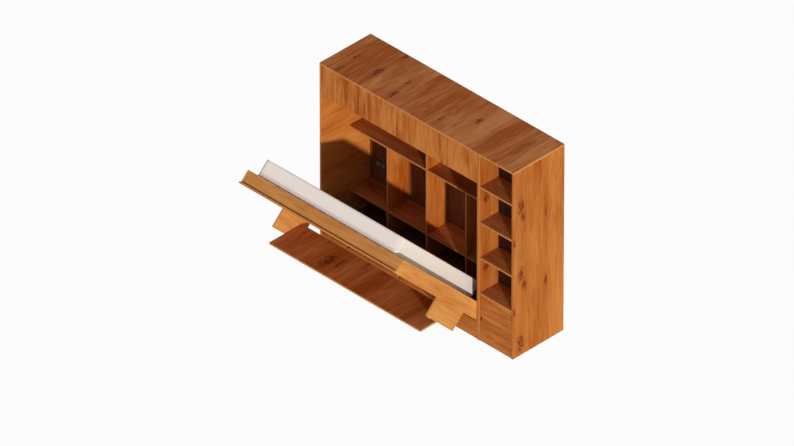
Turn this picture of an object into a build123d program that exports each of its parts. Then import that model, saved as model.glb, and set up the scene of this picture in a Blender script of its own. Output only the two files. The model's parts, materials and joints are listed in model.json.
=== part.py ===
from build123d import *
import os

# Cabinet, in millimetres: X along the wall, -Y towards the room, Z up from the floor.
# The origin is on the floor, at the middle of the cabinet's footprint.
cabinet_height = 2325.0
cabinet_depth = 740.0
tower_width = 496.0
board = 22.0  # every carcass board, shelf and front
back_thickness = 8.0
back_setback = 27.0  # from the wall plane to the back panel
front_gap = 3.0  # reveal around each inset front
floor_gap = 6.0  # under the drawer fronts and the door
edge_round = 1.5  # worn edge of the boards that show
front_rear_gap = 2.0  # behind the drawer fronts and the door

# Bay behind the bed
upper_shelf_top = 1359.0
lower_shelf_top = 562.0
shelf_setback = 402.0  # from the cabinet's front to the shelves in the bay
column_count = 4
socket_from_left = 188.0
socket_height = 794.0
socket_frame_width = 151.0
socket_frame_height = 81.0
socket_frame_depth = 9.0
socket_insert_size = 55.0
socket_insert_pitch = 71.0
socket_insert_proud = 2.0
socket_insert_depth = 6.0
socket_well_radius = 20.0
socket_well_floor = 1.0

# Drawers under the bed
drawer_count = 3
drawer_tray_depth = 560.0
drawer_tray_height = 140.0
drawer_tray_wall = 12.0
runner_thickness = 12.0
runner_height = 35.0
runner_length = 520.0
runner_clearance = 0.6
drawer_notch_radius = 26.0
finger_room = 45.0  # behind the notches, in front of the deck

# Tower
tower_shelf_count = 4
tower_low_shelf_top = 603.0
tower_shelf_pitch = 441.0
tower_niche_depth = 268.0
door_notch_width = 29.0
door_notch_height = 63.0
door_notch_middle = 294.0  # above the floor
butt_hinge_length = 70.0
butt_hinge_leaf = 1.3
butt_hinge_leaf_depth = 19.0
butt_barrel_radius = 4.0
butt_pin_radius = 2.0
butt_clear = 0.4  # between a turning knuckle and a leaf
butt_knuckle_gap = 0.3
butt_front_gap = 0.3  # from the barrel to the door's face
butt_end_offset = 80.0  # from the door's end to the middle of its hinge

# Bed, drawn shut and then tilted to where the photograph shows it
rest_tilt = 45.0  # degrees from shut
hinge_height = 245.0
hinge_setback = 20.0  # behind the facade's outer face
hinge_clear = 4.0  # between the facade's round lower edge and the drawers
bed_side_gap = 4.0
frame_depth = 165.0  # from the facade's outer face to the edges of the rails
low_rail_start = 16.0
rail_rebate_height = 14.0  # shadow gap between the high rail and the facade
rail_rebate_depth = 12.0
lip_gap = 1.0  # from the end boards to the facade's lip
lip_height = 29.0  # the facade's lip, along the facade
slat_count = 13
slat_width = 90.0
slat_thickness = 18.0
slat_proud = 3.0  # above the edges of the rails
slat_end_gap = 4.0
ledger_size = 32.0
centre_beam_width = 45.0
mattress_length = 2000.0
mattress_width = 1600.0
mattress_thickness = 188.0
mattress_corner = 40.0
mattress_edge_draw = 9.0  # how far the top and bottom borders draw in
mattress_side_draw = 3.0  # how far the sides draw in between the borders
mattress_border = 30.0  # height over which a border swells
mattress_crown = 3.0  # how far the middle stands above the top border
mattress_crown_draw = 260.0
mattress_clear = 0.5
mattress_shift = -20.0  # it lies a little to the left
mattress_end_room = 99.0  # from the mattress's ends to the end boards
mattress_side_room = 3.0  # from the mattress's long sides to the rails
mattress_padding = 20.0  # cover and padding, round the room of the springs

# Legs, which are one piece with the bed's end boards
leg_start = 275.0
leg_width = 531.0
glide_radius = 9.0
glide_height = 4.0
glide_inset = 60.0

# Desk
desk_pivot_up = 504.0  # along the facade, from the hinge
desk_pivot_out = 152.0  # in front of the facade
desk_depth = 470.0
desk_thickness = 22.0
desk_back_gap = 10.0  # to the facade when the bed is shut
desk_end_gap = 3.0
desk_shaft_radius = 6.0
desk_shaft_hold = 60.0  # inside the desk's end
desk_bush_wall = 3.0
desk_stop_radius = 6.0
desk_stop_out = 45.0  # in front of the desk's shaft
desk_stop_length = 16.0
desk_stop_gap = 0.4

# Hinge, torsion bar and the chains that keep the desk level
pivot_pin_radius = 8.0
pivot_bush_wall = 4.0
running_clearance = 0.05
bearing_plate_depth = 80.0
bearing_plate_height = 56.0
bearing_plate_thickness = 4.0
bearing_plate_inset = 4.0
pin_hold = 10.0  # into the side panel behind the plate
torsion_bar_radius = 10.0
torsion_sleeve_radius = 13.0
torsion_sleeve_length = 46.0
torsion_sleeve_hold = 34.0
torsion_end_gap = 10.0
sleeve_gap = 2.0  # from the end board to the sleeve
facade_lip = 6.0  # left in front of the torsion bar
anchor_length = 52.0
anchor_depth = 60.0
anchor_drop = 14.0
anchor_front_gap = 2.0  # to the facade's lip
anchor_overhang = 2.0  # past the bar's end
guide_count = 2
guide_length = 30.0
guide_clearance = 0.4
chain_cover_thickness = 2.0
chain_cover_margin = 3.0
chain_cover_clearance = 0.3
sprocket_radius = 11.0
chain_thickness = 3.0
chain_width = 4.0
chain_clearance = 0.15
chain_room = 1.8  # from the chain to the side of its groove
chain_side_room = 1.5  # from the first chain to the floor of its groove
chain_layer_gap = 0.6  # between the two chains, side by side
chain_cover_room = 0.4  # from the second chain to the cover
corner_pin_radius = 4.0
corner_pin_hold = 5.0  # behind the floor of the groove

# Wall brackets
bracket_spacing = 1600.0
bracket_width = 60.0
bracket_leg = 90.0
bracket_thickness = 4.0
bracket_hole_radius = 4.5

# Places that follow from the sizes above
bed_module_width = mattress_length + 2 * (mattress_end_room + 2 * board + bed_side_gap)
cabinet_width = bed_module_width + tower_width
left = -cabinet_width / 2
right = cabinet_width / 2
seam = left + bed_module_width
front = -cabinet_depth / 2
rear = cabinet_depth / 2
back_face = rear - back_setback - back_thickness
bay_left = left + board
bay_right = seam - board
tower_left = seam + board
tower_right = right - board
under_top = cabinet_height - board
end_board_reach = low_rail_start + mattress_width + 2 * (mattress_side_room + board)
facade_reach = end_board_reach + lip_gap + lip_height
fascia_bottom = hinge_height + facade_reach + front_gap
shelf_front = front + shelf_setback
deck_top = hinge_height - hinge_setback - hinge_clear
behind_fronts = front + board + front_rear_gap
hinge_y = front + hinge_setback
bed_left = bay_left + bed_side_gap
bed_right = bay_right - bed_side_gap
inner_left = bed_left + board
inner_right = bed_right - board
leg_drop = hinge_height - hinge_setback - glide_height
slat_top = frame_depth + slat_proud
ledger_top = slat_top - slat_thickness
shaft_y = front - desk_pivot_out
shaft_z = hinge_height + desk_pivot_up
chain_groove_depth = (
    chain_side_room + 2 * chain_width + chain_layer_gap + chain_cover_room + chain_cover_thickness
)
chain_outer_radius = sprocket_radius + chain_clearance + chain_thickness
groove_radius = chain_outer_radius + chain_room
cover_radius = groove_radius + chain_cover_margin


def block(x0, x1, y0, y1, z0, z1):
    size = Box(x1 - x0, y1 - y0, z1 - z0, align=(Align.MIN, Align.MIN, Align.MIN))
    return Pos(x0, y0, z0) * size


def panel(x0, x1, y0, y1, z0, z1):
    solid = block(x0, x1, y0, y1, z0, z1)
    return fillet(solid.edges(), edge_round)


def shut_block(x0, x1, depth0, depth1, up0, up1):
    """A block of the shut bed: depth behind the facade's outer face, height above the hinge."""
    return block(x0, x1, front + depth0, front + depth1, hinge_height + up0, hinge_height + up1)


def shut_panel(x0, x1, depth0, depth1, up0, up1):
    return fillet(shut_block(x0, x1, depth0, depth1, up0, up1).edges(), edge_round)


def rod(radius, x0, x1, y, z):
    plane = Plane(origin=(x0, y, z), x_dir=(0, 1, 0), z_dir=(1, 0, 0))
    return extrude(plane * Circle(radius), x1 - x0)


def pole(radius, x, y, z0, z1):
    return Pos(x, y, z0) * Cylinder(radius, z1 - z0, align=(Align.CENTER, Align.CENTER, Align.MIN))


def long_slot(radius, x0, x1, start, end):
    """A slot with round ends, from one shaft's (y, z) to another's."""
    middle = (x0, (start[0] + end[0]) / 2, (start[1] + end[1]) / 2)
    run = Vector(0, end[0] - start[0], end[1] - start[1])
    plane = Plane(origin=middle, x_dir=run, z_dir=(1, 0, 0))
    return extrude(plane * SlotCenterToCenter(run.length, 2 * radius), x1 - x0)


def chain_way(radius, x0, x1):
    """Both runs of the chains: up the end board from the hinge, and then along the leg to the desk."""
    return long_slot(radius, x0, x1, hinge_line, corner_line) + long_slot(
        radius, x0, x1, corner_line, shaft_line
    )


def tilt(solid):
    return solid.rotate(Axis((0, hinge_y, hinge_height), (1, 0, 0)), rest_tilt)


hinge_line = (hinge_y, hinge_height)
corner_line = (hinge_y, shaft_z)
shaft_line = (shaft_y, shaft_z)
nodes = {}


def keep(name, *solids):
    nodes[name] = solids[0] if len(solids) == 1 else Compound(children=list(solids))


# Bed module: sides with pockets for the bearing plates, top, fascia and back
def bearing_box(x0, x1):
    return block(
        x0,
        x1,
        front + bearing_plate_inset,
        front + bearing_plate_inset + bearing_plate_depth,
        hinge_height - bearing_plate_height / 2,
        hinge_height + bearing_plate_height / 2,
    )


plate_left = bearing_box(bay_left - bearing_plate_thickness, bay_left)
plate_right = bearing_box(bay_right, bay_right + bearing_plate_thickness)
pin_reach = bearing_plate_thickness + pin_hold
pin_hole_left = rod(pivot_pin_radius, bay_left - pin_reach, bay_left, hinge_y, hinge_height)
pin_hole_right = rod(pivot_pin_radius, bay_right, bay_right + pin_reach, hinge_y, hinge_height)
keep("bed_side_left", panel(left, bay_left, front, rear, 0, under_top) - plate_left - pin_hole_left)
keep("bed_side_right", panel(bay_right, seam, front, rear, 0, under_top) - plate_right - pin_hole_right)
keep("bearing_plates", plate_left - pin_hole_left, plate_right - pin_hole_right)
keep("bed_top", panel(left, seam, front, rear, under_top, cabinet_height))
keep("fascia", panel(bay_left, bay_right, front, front + board, fascia_bottom, under_top))
keep("bay_back", block(bay_left, bay_right, back_face, back_face + back_thickness, board, under_top))

# Shelves and dividers in the bay
column_width = (bay_right - bay_left - (column_count - 1) * board) / column_count
column_starts = [bay_left + i * (column_width + board) for i in range(column_count)]
for i in range(1, column_count):
    x = column_starts[i] - board
    middle_one = i == column_count // 2
    top = under_top if middle_one else upper_shelf_top - board
    keep(f"divider_{i}", panel(x, x + board, shelf_front, back_face, deck_top, top))
middle_divider = column_starts[column_count // 2] - board
shelf_bottom = upper_shelf_top - board
upper_shelf_spans = ((bay_left, middle_divider), (middle_divider + board, bay_right))
upper_shelves = [
    panel(x0, x1, shelf_front, back_face, shelf_bottom, upper_shelf_top) for x0, x1 in upper_shelf_spans
]
keep("upper_shelves", *upper_shelves)
lower_bottom = lower_shelf_top - board
lower_shelves = [
    panel(x, x + column_width, shelf_front, back_face, lower_bottom, lower_shelf_top) for x in column_starts
]
keep("lower_shelves", *lower_shelves)

# Twin socket on the back of the first column
socket_x = left + socket_from_left
frame_face = back_face - socket_frame_depth
socket_frame = block(
    socket_x - socket_frame_width / 2,
    socket_x + socket_frame_width / 2,
    frame_face,
    back_face,
    socket_height - socket_frame_height / 2,
    socket_height + socket_frame_height / 2,
)
socket_frame = fillet(socket_frame.edges().filter_by(Axis.Y), 2 * edge_round)
socket_inserts = []
for offset in (-socket_insert_pitch / 2, socket_insert_pitch / 2):
    x = socket_x + offset
    half = socket_insert_size / 2
    insert = block(
        x - half,
        x + half,
        frame_face - socket_insert_proud,
        frame_face + socket_insert_depth,
        socket_height - half,
        socket_height + half,
    )
    socket_frame -= insert
    well = Plane(origin=(x, frame_face - socket_insert_proud, socket_height), z_dir=(0, 1, 0))
    well_depth = socket_insert_proud + socket_insert_depth - socket_well_floor
    insert -= extrude(well * Circle(socket_well_radius), well_depth)
    socket_inserts.append(insert)
keep("socket_frame", socket_frame)
keep("socket_inserts", *socket_inserts)

# Drawer zone: base, deck, partitions and runners
keep("base_panel", block(bay_left, bay_right, behind_fronts, back_face, 0, board))
deck_front = behind_fronts + finger_room
keep("drawer_deck", block(bay_left, bay_right, deck_front, back_face, deck_top - board, deck_top))
drawer_opening = (bay_right - bay_left - (drawer_count - 1) * board) / drawer_count
drawer_starts = [bay_left + i * (drawer_opening + board) for i in range(drawer_count)]
partitions = [
    block(x - board, x, behind_fronts, back_face, board, deck_top - board) for x in drawer_starts[1:]
]
keep("drawer_partitions", *partitions)
tray_bottom = board + floor_gap
runner_bottom = tray_bottom + (drawer_tray_height - runner_height) / 2
runners = []
for x in drawer_starts:
    for x0 in (x, x + drawer_opening - runner_thickness):
        runners.append(
            block(
                x0,
                x0 + runner_thickness,
                behind_fronts + front_gap,
                behind_fronts + front_gap + runner_length,
                runner_bottom,
                runner_bottom + runner_height,
            )
        )
keep("drawer_runners", *runners)

# Drawers: a front with a finger notch in its top edge, and a tray behind it
drawer_front_width = (bay_right - bay_left - (drawer_count + 1) * front_gap) / drawer_count
for i, x in enumerate(drawer_starts):
    x0 = bay_left + front_gap + i * (drawer_front_width + front_gap)
    face = panel(x0, x0 + drawer_front_width, front, front + board, floor_gap, deck_top)
    notch = Plane(origin=(x0 + drawer_front_width / 2, front, deck_top), x_dir=(1, 0, 0), z_dir=(0, -1, 0))
    keep(f"drawer_front_{i + 1}", face - extrude(notch * Circle(drawer_notch_radius), -board))
    inset = runner_thickness + runner_clearance
    tray = block(
        x + inset,
        x + drawer_opening - inset,
        front + board,
        front + board + drawer_tray_depth,
        tray_bottom,
        tray_bottom + drawer_tray_height,
    )
    tray -= block(
        x + inset + drawer_tray_wall,
        x + drawer_opening - inset - drawer_tray_wall,
        front + board + drawer_tray_wall,
        front + board + drawer_tray_depth - drawer_tray_wall,
        tray_bottom + drawer_tray_wall,
        tray_bottom + drawer_tray_height,
    )
    keep(f"drawer_tray_{i + 1}", tray)

# Tower: sides, top, base, backs and shelves
keep("tower_side_left", panel(seam, tower_left, front, rear, 0, under_top))
keep("tower_side_right", panel(tower_right, right, front, rear, 0, under_top))
keep("tower_top", panel(seam, right, front, rear, under_top, cabinet_height))
keep("tower_base", block(tower_left, tower_right, behind_fronts, back_face, 0, board))
keep("tower_back", block(tower_left, tower_right, back_face, back_face + back_thickness, board, under_top))
niche_back = front + tower_niche_depth
shelf_tops = [tower_low_shelf_top + i * tower_shelf_pitch for i in range(tower_shelf_count)]
keep(
    "tower_niche_back",
    block(tower_left, tower_right, niche_back, niche_back + back_thickness, tower_low_shelf_top, under_top),
)
cupboard_top, *niche_tops = shelf_tops
keep("cupboard_top", panel(tower_left, tower_right, front, back_face, cupboard_top - board, cupboard_top))
tower_shelves = [panel(tower_left, tower_right, front, niche_back, top - board, top) for top in niche_tops]
keep("tower_shelves", *tower_shelves)

# Tower door, with a finger notch in its left edge, on two butt hinges
door_left = tower_left + front_gap
door_right = tower_right - front_gap
door_top = tower_low_shelf_top - board - front_gap
door = panel(door_left, door_right, front, front + board, floor_gap, door_top)
notch_plane = Plane(origin=(door_left, front, door_notch_middle), x_dir=(0, 0, 1), z_dir=(0, -1, 0))
door -= extrude(notch_plane * Ellipse(door_notch_height / 2, door_notch_width), -board)
keep("tower_door", door)
butt_x = tower_right - front_gap / 2
butt_y = front - butt_barrel_radius - butt_front_gap
knuckle = butt_hinge_length / 3
fixed_leaves = []
door_leaves = []
butt_pins = []
for middle in (floor_gap + butt_end_offset, door_top - butt_end_offset):
    z0 = middle - butt_hinge_length / 2
    z1 = middle + butt_hinge_length / 2
    leaf_rear = front + butt_hinge_leaf_depth
    pin_bore = pole(butt_pin_radius + running_clearance, butt_x, butt_y, z0, z1)
    fixed = block(tower_right - butt_hinge_leaf, tower_right, butt_y, leaf_rear, z0, z1)
    moving = block(door_right, door_right + butt_hinge_leaf, butt_y, leaf_rear, z0, z1)
    barrel = pole(butt_barrel_radius, butt_x, butt_y, z0, z1)
    middle_knuckle = pole(butt_barrel_radius, butt_x, butt_y, z0 + knuckle, z0 + 2 * knuckle)
    room_radius = butt_barrel_radius + butt_clear
    middle_room = pole(
        room_radius, butt_x, butt_y, z0 + knuckle - butt_knuckle_gap, z0 + 2 * knuckle + butt_knuckle_gap
    )
    outer_room = pole(room_radius, butt_x, butt_y, z0, z1)
    outer_room -= pole(room_radius, butt_x, butt_y, z0 + knuckle, z0 + 2 * knuckle)
    fixed_leaves.append((fixed - middle_room) + (barrel - middle_room) - pin_bore)
    door_leaves.append((moving - outer_room) + middle_knuckle - pin_bore)
    butt_pins.append(pole(butt_pin_radius, butt_x, butt_y, z0, z1))
keep("door_hinge_leaves", *fixed_leaves)
keep("door_hinge_pins", *butt_pins)
keep("door_hinge_knuckles", *door_leaves)

# Wall brackets under the top, flat against the wall
brackets = []
bracket_middle = (bay_left + bay_right) / 2
for x in (bracket_middle - bracket_spacing / 2, bracket_middle + bracket_spacing / 2):
    x0 = x - bracket_width / 2
    x1 = x + bracket_width / 2
    bracket = block(x0, x1, rear - bracket_thickness, rear, under_top - bracket_leg, under_top)
    bracket += block(x0, x1, back_face + back_thickness, rear, under_top - bracket_thickness, under_top)
    hole = Plane(origin=(x, rear, under_top - bracket_leg / 2), z_dir=(0, -1, 0))
    brackets.append(bracket - extrude(hole * Circle(bracket_hole_radius), bracket_thickness))
keep("wall_brackets", *brackets)

# Bed: facade with a round lower edge, cut away behind the torsion bar, and a lip above the end boards


def round_edge(x0, x1):
    """The quarter round about the hinge line, in front of it and below it."""
    quarter = shut_block(x0, x1, 0, hinge_setback, -hinge_setback, 0)
    return quarter & rod(hinge_setback, x0, x1, hinge_y, hinge_height)


facade = shut_block(inner_left, inner_right, 0, board, 0, facade_reach)
facade += shut_block(bed_left, bed_right, 0, board, end_board_reach + lip_gap, facade_reach)
facade = fillet(facade.edges().filter_by(Axis.X).group_by(Axis.Z)[-1], edge_round)
facade += round_edge(inner_left, inner_right)
facade -= shut_block(inner_left, inner_right, facade_lip, board, -hinge_setback, low_rail_start)
keep("facade", tilt(facade))

# End boards with the legs, the bush bores and the chain grooves
desk_bush_radius = desk_shaft_radius + running_clearance + desk_bush_wall
pivot_bush_radius = pivot_pin_radius + running_clearance + pivot_bush_wall


def end_board(x0, inner, inward):
    rail = shut_block(x0, x0 + board, 0, frame_depth, 0, end_board_reach)
    heel = shut_block(x0, x0 + board, hinge_setback, frame_depth, -hinge_setback, 0)
    leg = shut_block(x0, x0 + board, -leg_drop, 0, leg_start, leg_start + leg_width)
    solid = rail + heel + leg + round_edge(x0, x0 + board)
    groove = (inner - inward * chain_groove_depth, inner)
    rebate = (inner - inward * chain_cover_thickness, inner)
    pin_room = (groove[0], groove[0] - inward * corner_pin_hold)
    solid -= chain_way(groove_radius, min(groove), max(groove))
    solid -= chain_way(cover_radius, min(rebate), max(rebate))
    solid -= rod(corner_pin_radius + running_clearance, min(pin_room), max(pin_room), *corner_line)
    solid -= rod(pivot_bush_radius, x0, x0 + board, hinge_y, hinge_height)
    return solid - rod(desk_bush_radius, x0, x0 + board, shaft_y, shaft_z)


keep("end_board_left", tilt(end_board(bed_left, inner_left, 1)))
keep("end_board_right", tilt(end_board(inner_right, inner_right, -1)))

# Long rails, ledgers, centre beam and slats
high_rail_start = end_board_reach - board
low_rail_end = low_rail_start + board
keep("low_rail", tilt(shut_panel(inner_left, inner_right, board, frame_depth, low_rail_start, low_rail_end)))
high_rail = shut_panel(inner_left, inner_right, board, frame_depth, high_rail_start, end_board_reach)
high_rail -= shut_block(
    inner_left,
    inner_right,
    board,
    board + rail_rebate_height,
    end_board_reach - rail_rebate_depth,
    end_board_reach,
)
keep("high_rail", tilt(high_rail))
ledger_levels = (low_rail_end, high_rail_start - ledger_size)
ledgers = [
    tilt(shut_block(inner_left, inner_right, ledger_top - ledger_size, ledger_top, up, up + ledger_size))
    for up in ledger_levels
]
keep("slat_ledgers", *ledgers)
bed_middle_up = (low_rail_start + end_board_reach) / 2
beam_low = bed_middle_up - centre_beam_width / 2
keep(
    "centre_beam",
    tilt(shut_block(inner_left, inner_right, board, ledger_top, beam_low, beam_low + centre_beam_width)),
)
slats_left = inner_left + mattress_end_room
slats_right = inner_right - mattress_end_room
slat_pitch = (slats_right - slats_left - slat_width) / (slat_count - 1)
slats = []
for i in range(slat_count):
    x = slats_left + i * slat_pitch
    slats.append(
        tilt(
            shut_panel(
                x,
                x + slat_width,
                ledger_top,
                slat_top,
                low_rail_end + slat_end_gap,
                high_rail_start - slat_end_gap,
            )
        )
    )
keep("slats", *slats)

# Mattress: borders that draw in at the top and bottom, sides that draw in between them, and a crown
mattress_x = (bed_left + bed_right) / 2 + mattress_shift
border_top = mattress_thickness - mattress_crown
mattress_levels = [
    (0, mattress_edge_draw),
    (mattress_border / 2, mattress_edge_draw / 6),
    (mattress_border, 0),
    (border_top / 2, mattress_side_draw),
    (border_top - mattress_border, 0),
    (border_top - mattress_border / 2, mattress_edge_draw / 6),
    (border_top, mattress_edge_draw),
    (mattress_thickness, mattress_crown_draw),
]
mattress_sections = []
mattress_back = front + slat_top + mattress_clear
for level, draw in mattress_levels:
    middle = (mattress_x, mattress_back + level, hinge_height + bed_middle_up)
    plane = Plane(origin=middle, x_dir=(1, 0, 0), z_dir=(0, 1, 0))
    outline = RectangleRounded(mattress_length - 2 * draw, mattress_width - 2 * draw, mattress_corner)
    mattress_sections.append(plane * outline)
spring_draw = mattress_side_draw + mattress_padding
spring_outline = RectangleRounded(
    mattress_length - 2 * spring_draw, mattress_width - 2 * spring_draw, mattress_corner
)
spring_middle = (mattress_x, mattress_back + mattress_padding, hinge_height + bed_middle_up)
spring_plane = Plane(origin=spring_middle, x_dir=(1, 0, 0), z_dir=(0, 1, 0))
spring_room = extrude(spring_plane * spring_outline, border_top - 2 * mattress_padding)
keep("mattress", tilt(loft(mattress_sections, ruled=True) - spring_room))

# Hinge: pins in the cabinet, bushes in the bed, torsion bar between them
sleeve_start = inner_left + sleeve_gap
pin_left = rod(pivot_pin_radius, bay_left - pin_reach, sleeve_start, hinge_y, hinge_height)
sleeve = rod(torsion_sleeve_radius, sleeve_start, sleeve_start + torsion_sleeve_length, hinge_y, hinge_height)
bar_start = sleeve_start + torsion_sleeve_length - torsion_sleeve_hold
bar_end = inner_right - torsion_end_gap
torsion_bar = rod(torsion_bar_radius, bar_start, bar_end, hinge_y, hinge_height)
pin_right_start = inner_right + chain_cover_thickness + chain_cover_clearance
pin_right = rod(pivot_pin_radius, pin_right_start, bay_right + pin_reach, hinge_y, hinge_height)
keep("pivot_pins", pin_left + (sleeve - torsion_bar), pin_right)
keep("torsion_bar", torsion_bar)
bush_spans = (
    (bed_left, inner_left - chain_groove_depth),
    (inner_right + chain_groove_depth, bed_right),
)
pivot_bushes = []
desk_bushes = []
for x0, x1 in bush_spans:
    pin_room = rod(pivot_pin_radius + running_clearance, x0, x1, hinge_y, hinge_height)
    shaft_room = rod(desk_shaft_radius + running_clearance, x0, x1, shaft_y, shaft_z)
    pivot_bushes.append(tilt(rod(pivot_bush_radius, x0, x1, hinge_y, hinge_height) - pin_room))
    desk_bushes.append(tilt(rod(desk_bush_radius, x0, x1, shaft_y, shaft_z) - shaft_room))
keep("pivot_bushes", *pivot_bushes)
keep("desk_bushes", *desk_bushes)


def bar_block(x0, x1, depth, bore_radius):
    """A block under the low rail that the torsion bar passes through."""
    depth0 = facade_lip + anchor_front_gap
    solid = shut_block(x0, x1, depth0, hinge_setback + depth, -anchor_drop, low_rail_start)
    return tilt(solid - rod(bore_radius, x0, x1, hinge_y, hinge_height))


anchor_end = bar_end + anchor_overhang
anchor_bore = torsion_bar_radius + running_clearance
keep("torsion_anchor", bar_block(anchor_end - anchor_length, anchor_end, anchor_depth, anchor_bore))
guides = []
for i in range(guide_count):
    x = inner_left + (i + 1) / (guide_count + 1) * (inner_right - inner_left)
    guide_bore = torsion_bar_radius + guide_clearance
    guides.append(bar_block(x - guide_length / 2, x + guide_length / 2, anchor_depth, guide_bore))
keep("torsion_guides", *guides)

# Level chains: a fixed wheel on each hinge pin, a double wheel at the corner, a wheel on each desk shaft
hinge_wheels = []
corner_wheels = []
desk_wheels = []
chains = []
covers = []
shaft_arm = Vector(0, shaft_y - hinge_y, shaft_z - hinge_height)
rest_shaft = Vector(0, hinge_y, hinge_height) + shaft_arm.rotate(Axis.X, rest_tilt)
for inner, inward in ((inner_left, 1), (inner_right, -1)):
    groove_floor = inner - inward * chain_groove_depth
    first = groove_floor + inward * chain_side_room
    second = first + inward * (chain_width + chain_layer_gap)
    first_span = sorted((first, first + inward * chain_width))
    second_span = sorted((second, second + inward * chain_width))
    double_span = sorted((first, second + inward * chain_width))
    pin_span = sorted((groove_floor - inward * corner_pin_hold, first))
    pin_room = rod(pivot_pin_radius, *first_span, *hinge_line)
    shaft_room = rod(desk_shaft_radius, *second_span, rest_shaft.Y, rest_shaft.Z)
    hinge_wheels.append(rod(sprocket_radius, *first_span, *hinge_line) - pin_room)
    corner_wheel = rod(sprocket_radius, *double_span, *corner_line)
    corner_wheels.append(tilt(corner_wheel + rod(corner_pin_radius, *pin_span, *corner_line)))
    desk_wheels.append(rod(sprocket_radius, *second_span, rest_shaft.Y, rest_shaft.Z) - shaft_room)
    for span, start, end in ((first_span, hinge_line, corner_line), (second_span, corner_line, shaft_line)):
        chain = long_slot(chain_outer_radius, *span, start, end)
        chains.append(tilt(chain - long_slot(sprocket_radius + chain_clearance, *span, start, end)))
    cover_span = sorted((inner, inner - inward * chain_cover_thickness))
    cover = chain_way(cover_radius - chain_cover_clearance, *cover_span)
    cover -= rod(desk_shaft_radius + chain_cover_clearance, *cover_span, *shaft_line)
    cover -= rod(pivot_pin_radius + chain_cover_clearance, *cover_span, *hinge_line)
    covers.append(tilt(cover))
keep("hinge_wheels", *hinge_wheels)
keep("corner_wheels", *corner_wheels)
keep("desk_wheels", *desk_wheels)
keep("level_chains", *chains)
keep("chain_covers", *covers)

# Glides on the legs' ends, and the pegs that the desk rests on when the bed is shut
glides = []
stops = []
for x0, inner, inward in ((bed_left, inner_left, 1), (inner_right, inner_right, -1)):
    for up in (leg_start + glide_inset, leg_start + leg_width - glide_inset):
        foot = Plane(
            origin=(x0 + board / 2, front - leg_drop, hinge_height + up), x_dir=(1, 0, 0), z_dir=(0, -1, 0)
        )
        glides.append(tilt(extrude(foot * Circle(glide_radius), glide_height)))
    stop_z = shaft_z - desk_thickness / 2 - desk_stop_radius - desk_stop_gap
    stop_ends = sorted((inner, inner + inward * desk_stop_length))
    stops.append(tilt(rod(desk_stop_radius, stop_ends[0], stop_ends[1], shaft_y - desk_stop_out, stop_z)))
keep("leg_glides", *glides)
keep("desk_stops", *stops)

# Desk, level at rest, with a shaft in each end
desk_left = inner_left + desk_end_gap
desk_right = inner_right - desk_end_gap
desk_back = rest_shaft.Y + desk_pivot_out - desk_back_gap
desk = panel(
    desk_left,
    desk_right,
    desk_back - desk_depth,
    desk_back,
    rest_shaft.Z - desk_thickness / 2,
    rest_shaft.Z + desk_thickness / 2,
)
shafts = [
    rod(desk_shaft_radius, bed_left, desk_left + desk_shaft_hold, rest_shaft.Y, rest_shaft.Z),
    rod(desk_shaft_radius, desk_right - desk_shaft_hold, bed_right, rest_shaft.Y, rest_shaft.Z),
]
for shaft in shafts:
    desk -= shaft
keep("desk_top", desk)
keep("desk_shafts", *shafts)

os.makedirs("parts", exist_ok=True)
for name, solid in nodes.items():
    export_step(solid, f"parts/{name}.step")
print(len(nodes), "nodes; desk shaft at rest", rest_shaft, "facade reach", facade_reach)
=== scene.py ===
import bpy
import bmesh
import json
import math
from mathutils import Euler, Matrix, Vector


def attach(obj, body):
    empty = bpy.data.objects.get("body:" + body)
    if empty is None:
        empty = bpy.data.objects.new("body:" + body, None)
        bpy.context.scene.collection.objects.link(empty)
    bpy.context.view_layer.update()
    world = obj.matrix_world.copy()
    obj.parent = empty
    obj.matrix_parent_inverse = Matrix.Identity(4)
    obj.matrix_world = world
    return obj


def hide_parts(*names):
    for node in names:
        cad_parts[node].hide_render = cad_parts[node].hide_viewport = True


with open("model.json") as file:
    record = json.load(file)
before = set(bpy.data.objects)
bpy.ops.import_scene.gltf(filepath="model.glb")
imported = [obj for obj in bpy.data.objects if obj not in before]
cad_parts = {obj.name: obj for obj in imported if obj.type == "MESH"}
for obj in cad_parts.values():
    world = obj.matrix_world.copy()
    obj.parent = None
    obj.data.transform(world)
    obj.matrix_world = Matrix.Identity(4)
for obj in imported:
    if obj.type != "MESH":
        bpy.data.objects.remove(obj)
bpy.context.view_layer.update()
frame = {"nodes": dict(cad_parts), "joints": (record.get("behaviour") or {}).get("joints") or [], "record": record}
nodes = frame["nodes"]
scene = bpy.context.scene
scene.view_settings.view_transform = "Standard"
print("frame loaded,", len(nodes), "nodes")

# the bed rests half open, turned about its hinge line
hinge = next(j for j in frame["joints"] if j["name"] == "bed_fold")
hingePoint = Vector(hinge["pos_m"])
bedTilt = math.radians(45.0)


# node helpers

def fill(tree, node, inputs):
    for key, value in inputs.items():
        if isinstance(value, bpy.types.NodeSocket):
            tree.links.new(value, node.inputs[key])
        else:
            node.inputs[key].default_value = value


def put(tree, kind, inputs=None, **settings):
    node = tree.nodes.new(kind)
    for key, value in settings.items():
        setattr(node, key, value)
    fill(tree, node, inputs or {})
    return node


def math2(tree, operation, a, b):
    return put(tree, "ShaderNodeMath", {0: a, 1: b}, operation=operation).outputs[0]


def addScaled(tree, start, value, factor, offset):
    # start + value * factor + offset
    scaled = put(tree, "ShaderNodeMath", {0: value, 1: factor, 2: offset}, operation="MULTIPLY_ADD")
    return math2(tree, "ADD", scaled.outputs[0], start)


def vector2(tree, operation, a, b):
    return put(tree, "ShaderNodeVectorMath", {0: a, 1: b}, operation=operation).outputs[0]


def mixColour(tree, factor, a, b, blend="MIX"):
    return put(tree, "ShaderNodeMix", {0: factor, 6: a, 7: b}, data_type="RGBA", blend_type=blend).outputs[2]


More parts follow.
